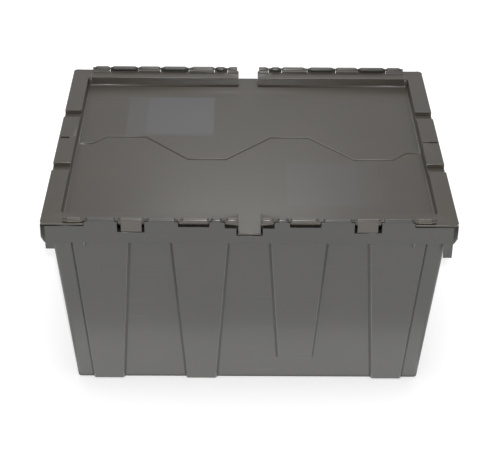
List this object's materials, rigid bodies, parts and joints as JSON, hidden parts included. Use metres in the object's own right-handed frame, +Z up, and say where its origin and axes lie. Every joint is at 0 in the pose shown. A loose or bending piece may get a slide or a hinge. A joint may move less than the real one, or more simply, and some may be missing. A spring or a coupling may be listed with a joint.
{
  "type": "attached lid tote",
  "caption": "Stackable moulded plastic storage and shipping tote with two interlocking half lids hinged on its long sides.",
  "frame": {"origin": "on the floor, under the middle of the tote's base", "axes": "+X along the long side, to the right; +Y towards the back lid's hinge; +Z up"},
  "size_m": [0.61, 0.506, 0.3181],
  "materials": {
    "tub_plastic": "fine moulded texture, slightly glossy on edges",
    "lid_plastic": "smooth moulded, slightly glossy",
    "hinge_steel": "drawn wire"
  },
  "bodies": {
    "tote": {"tote_body": "tub_plastic", "front_left_rod": "hinge_steel", "front_right_rod": "hinge_steel", "back_left_rod": "hinge_steel", "back_right_rod": "hinge_steel"},
    "front_cover": {"front_lid": "lid_plastic"},
    "back_cover": {"back_lid": "lid_plastic"}
  },
  "joints": [
    {"name": "front_lid_hinge", "type": "hinge", "parent": "tote", "child": "front_cover", "pos_m": [0, -0.2489, 0.314], "axis": [1, 0, 0], "range_deg": [0, 264]},
    {"name": "back_lid_hinge", "type": "hinge", "parent": "tote", "child": "back_cover", "pos_m": [0, 0.2489, 0.314], "axis": [-1, 0, 0], "range_deg": [0, 264]}
  ]
}
